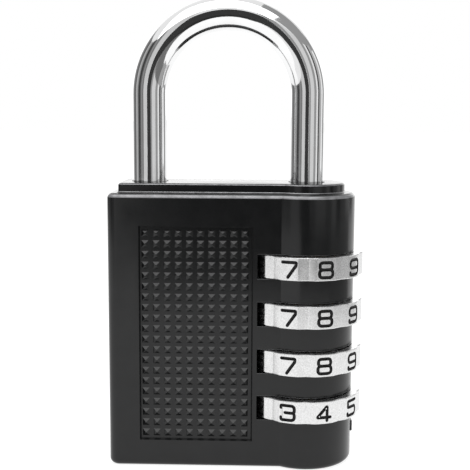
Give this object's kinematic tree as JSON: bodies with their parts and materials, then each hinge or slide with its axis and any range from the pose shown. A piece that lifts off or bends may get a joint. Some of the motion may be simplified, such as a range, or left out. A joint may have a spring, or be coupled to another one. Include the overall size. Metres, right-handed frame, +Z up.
{
  "type": "combination padlock",
  "caption": "Combination padlock with a flat die-cast body, textured grip panels, a round barrel of number dials on one side and a round steel shackle.",
  "frame": {"origin": "middle of the whole lock's width and depth, on the plane of the flat underside", "axes": "+Z up through the shackle, +X towards the dial barrel, +Y out of the back face"},
  "size_m": [0.0482, 0.0216, 0.0886],
  "materials": {
    "black_paint": "semi-gloss black paint on die-cast zinc",
    "chrome": "polished chrome plate",
    "nickel": "bright satin plate with black filled digits",
    "brass": "machined",
    "spring_steel": "bright spring steel"
  },
  "bodies": {
    "body": {"housing": "black_paint", "base_plate": "black_paint", "base_pin_left": "spring_steel", "base_pin_right": "spring_steel", "spring_seat": "brass", "shackle_spring": "spring_steel", "hub_return_spring": "spring_steel", "hub_washer_lower": "brass", "hub_washer_upper": "brass", "detent_spring": "spring_steel"},
    "shackle": {"shackle": "chrome", "retaining_clip": "spring_steel"},
    "dial_1": {"dial_1": "nickel", "hub_1": "brass"},
    "dial_2": {"dial_2": "nickel", "hub_2": "brass"},
    "dial_3": {"dial_3": "nickel", "hub_3": "brass"},
    "dial_4": {"dial_4": "nickel", "hub_4": "brass"}
  },
  "joints": [
    {"name": "shackle_lift", "type": "slide", "parent": "body", "child": "shackle", "axis": [0, 0, 1], "range_m": [0, 0.0084], "deforming": ["shackle_spring"]},
    {"name": "dial_1_turn", "type": "hinge", "parent": "body", "child": "dial_1", "pos_m": [0.01317, 0, 0.0388], "axis": [0, 0, 1], "continuous": true},
    {"name": "dial_2_turn", "type": "hinge", "parent": "body", "child": "dial_2", "pos_m": [0.01317, 0, 0.0298], "axis": [0, 0, 1], "continuous": true},
    {"name": "dial_3_turn", "type": "hinge", "parent": "body", "child": "dial_3", "pos_m": [0.01317, 0, 0.0208], "axis": [0, 0, 1], "continuous": true},
    {"name": "dial_4_turn", "type": "hinge", "parent": "body", "child": "dial_4", "pos_m": [0.01317, 0, 0.0118], "axis": [0, 0, 1], "continuous": true}
  ]
}
